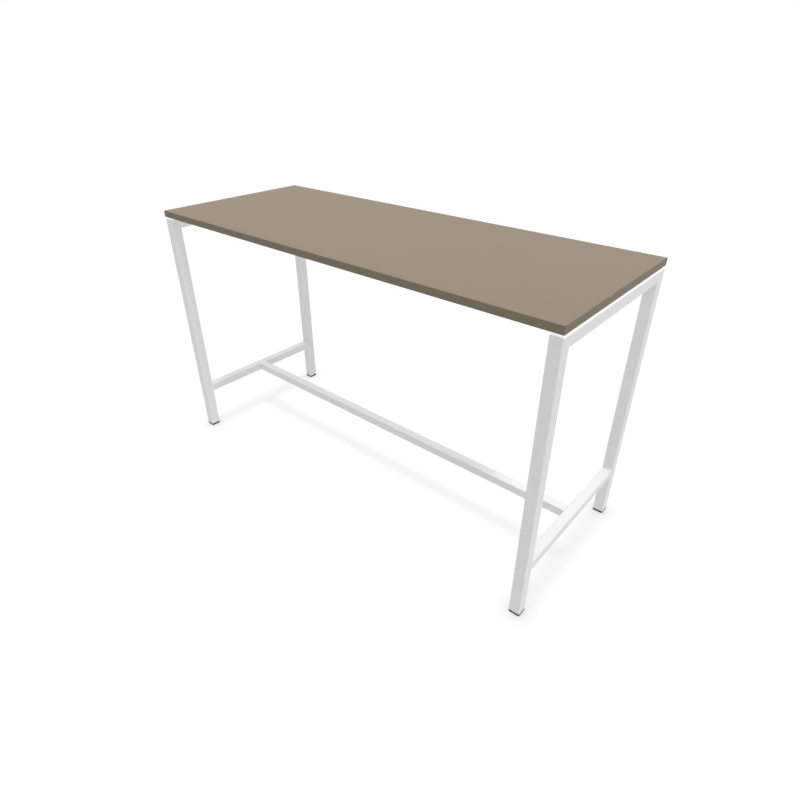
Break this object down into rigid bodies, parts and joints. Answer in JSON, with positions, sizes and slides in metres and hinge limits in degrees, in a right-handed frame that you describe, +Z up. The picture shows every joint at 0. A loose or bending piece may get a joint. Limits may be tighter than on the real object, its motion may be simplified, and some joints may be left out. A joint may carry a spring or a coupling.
{
  "type": "standing meeting table",
  "caption": "Rectangular standing-height table with a taupe board on two square-tube end frames, low stretcher between them and levelling feet.",
  "frame": {"origin": "on the floor, under the middle of the top", "axes": "+X along the table's length, +Y towards its back, +Z up"},
  "size_m": [1.8, 0.7, 1.05],
  "materials": {
    "board": "satin melamine film on chipboard, warm taupe",
    "edge_band": "ABS edge band in the board's taupe",
    "frame": "white powder coat, fine texture",
    "foot_plastic": "moulded black polyamide",
    "spacer_plastic": "moulded white polyamide",
    "hardware": "bright zinc plate"
  },
  "bodies": {
    "table": {"edge_band_front": "edge_band", "edge_band_back": "edge_band", "edge_band_left": "edge_band", "edge_band_right": "edge_band", "tabletop_board": "board", "leg_front_left": "frame", "foot_insert_front_left": "foot_plastic", "leg_front_right": "frame", "foot_insert_front_right": "foot_plastic", "leg_back_left": "frame", "foot_insert_back_left": "foot_plastic", "leg_back_right": "frame", "foot_insert_back_right": "foot_plastic", "top_rail_left": "frame", "foot_rail_left": "frame", "stretcher_spigot_left": "frame", "top_rail_right": "frame", "foot_rail_right": "frame", "stretcher_spigot_right": "frame", "stretcher": "frame", "beam_front": "frame", "beam_back": "frame", "beam_end_plates": "frame", "stretcher_screws": "hardware", "top_rail_bushes": "hardware", "beam_bolts": "hardware", "board_inserts": "hardware", "top_screws": "hardware", "foot_nuts": "hardware", "top_spacers": "spacer_plastic"},
    "pad_front_left": {"levelling_pad_front_left": "foot_plastic"},
    "screw_front_left": {"levelling_screw_front_left": "hardware"},
    "pad_front_right": {"levelling_pad_front_right": "foot_plastic"},
    "screw_front_right": {"levelling_screw_front_right": "hardware"},
    "pad_back_left": {"levelling_pad_back_left": "foot_plastic"},
    "screw_back_left": {"levelling_screw_back_left": "hardware"},
    "pad_back_right": {"levelling_pad_back_right": "foot_plastic"},
    "screw_back_right": {"levelling_screw_back_right": "hardware"}
  },
  "joints": [
    {"name": "pad_front_left_height", "type": "slide", "parent": "table", "child": "pad_front_left", "axis": [0, 0, -1], "range_m": [0, 0.01]},
    {"name": "screw_front_left_turn", "type": "hinge", "parent": "pad_front_left", "child": "screw_front_left", "pos_m": [-0.88, -0.3285, 0], "axis": [0, 0, -1], "range_deg": [0, 2880]},
    {"name": "pad_front_right_height", "type": "slide", "parent": "table", "child": "pad_front_right", "axis": [0, 0, -1], "range_m": [0, 0.01]},
    {"name": "screw_front_right_turn", "type": "hinge", "parent": "pad_front_right", "child": "screw_front_right", "pos_m": [0.88, -0.3285, 0], "axis": [0, 0, -1], "range_deg": [0, 2880]},
    {"name": "pad_back_left_height", "type": "slide", "parent": "table", "child": "pad_back_left", "axis": [0, 0, -1], "range_m": [0, 0.01]},
    {"name": "screw_back_left_turn", "type": "hinge", "parent": "pad_back_left", "child": "screw_back_left", "pos_m": [-0.88, 0.3285, 0], "axis": [0, 0, -1], "range_deg": [0, 2880]},
    {"name": "pad_back_right_height", "type": "slide", "parent": "table", "child": "pad_back_right", "axis": [0, 0, -1], "range_m": [0, 0.01]},
    {"name": "screw_back_right_turn", "type": "hinge", "parent": "pad_back_right", "child": "screw_back_right", "pos_m": [0.88, 0.3285, 0], "axis": [0, 0, -1], "range_deg": [0, 2880]}
  ],
  "couplings": [
    {"joint": "pad_front_left_height", "follows": "screw_front_left_turn", "m_per_rad": 0.00019894},
    {"joint": "pad_front_right_height", "follows": "screw_front_right_turn", "m_per_rad": 0.00019894},
    {"joint": "pad_back_left_height", "follows": "screw_back_left_turn", "m_per_rad": 0.00019894},
    {"joint": "pad_back_right_height", "follows": "screw_back_right_turn", "m_per_rad": 0.00019894}
  ]
}
